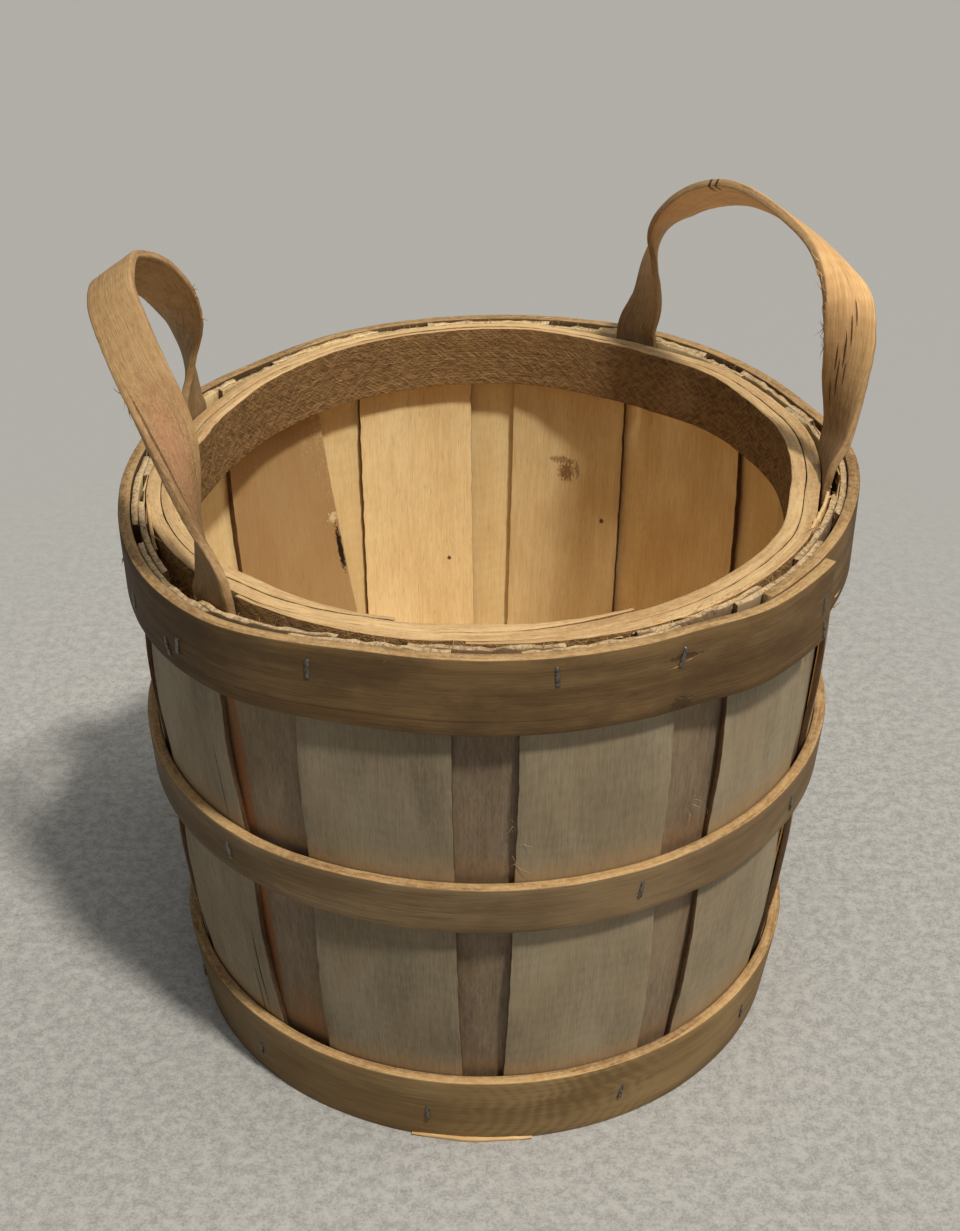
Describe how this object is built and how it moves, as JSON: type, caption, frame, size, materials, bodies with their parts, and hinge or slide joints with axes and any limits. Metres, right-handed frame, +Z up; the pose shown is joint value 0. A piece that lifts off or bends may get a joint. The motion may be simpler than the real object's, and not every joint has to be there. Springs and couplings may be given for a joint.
{
  "type": "splint basket",
  "caption": "Round splint basket of upright wood staves stapled between bent hoops, with a solid bottom and two bentwood loop handles.",
  "frame": {"origin": "centre of the foot hoop's underside, where the basket stands", "axes": "+Z up; -Y is the front, the side that faces the viewer of the picture, with the two-layer lap of the inner hoop; +X to that viewer's right, the side of the rim hoop's lap"},
  "size_m": [0.2688, 0.27, 0.3161],
  "materials": {
    "outer_stave": "sawn",
    "inner_stave": "sawn",
    "hoop": "sawn",
    "inner_hoop": "rough",
    "board": "sawn",
    "handle": "sawn"
  },
  "bodies": {
    "root": {"outer_stave_01": "outer_stave", "outer_stave_02": "outer_stave", "outer_stave_03": "outer_stave", "outer_stave_04": "outer_stave", "outer_stave_05": "outer_stave", "outer_stave_06": "outer_stave", "outer_stave_07": "outer_stave", "outer_stave_08": "outer_stave", "outer_stave_09": "outer_stave", "outer_stave_10": "outer_stave", "outer_stave_11": "outer_stave", "inner_stave_01": "inner_stave", "inner_stave_02": "inner_stave", "inner_stave_03": "inner_stave", "inner_stave_04": "inner_stave", "inner_stave_05": "inner_stave", "inner_stave_06": "inner_stave", "inner_stave_07": "inner_stave", "inner_stave_08": "inner_stave", "inner_stave_09": "inner_stave", "inner_stave_10": "inner_stave", "inner_stave_11": "inner_stave", "rim_hoop": "hoop", "middle_hoop": "hoop", "foot_hoop": "hoop", "inner_hoop_outer_ply": "inner_hoop", "inner_hoop_inner_ply": "inner_hoop", "bottom_board": "board", "right_handle": "handle", "left_handle": "handle"}
  },
  "joints": []
}
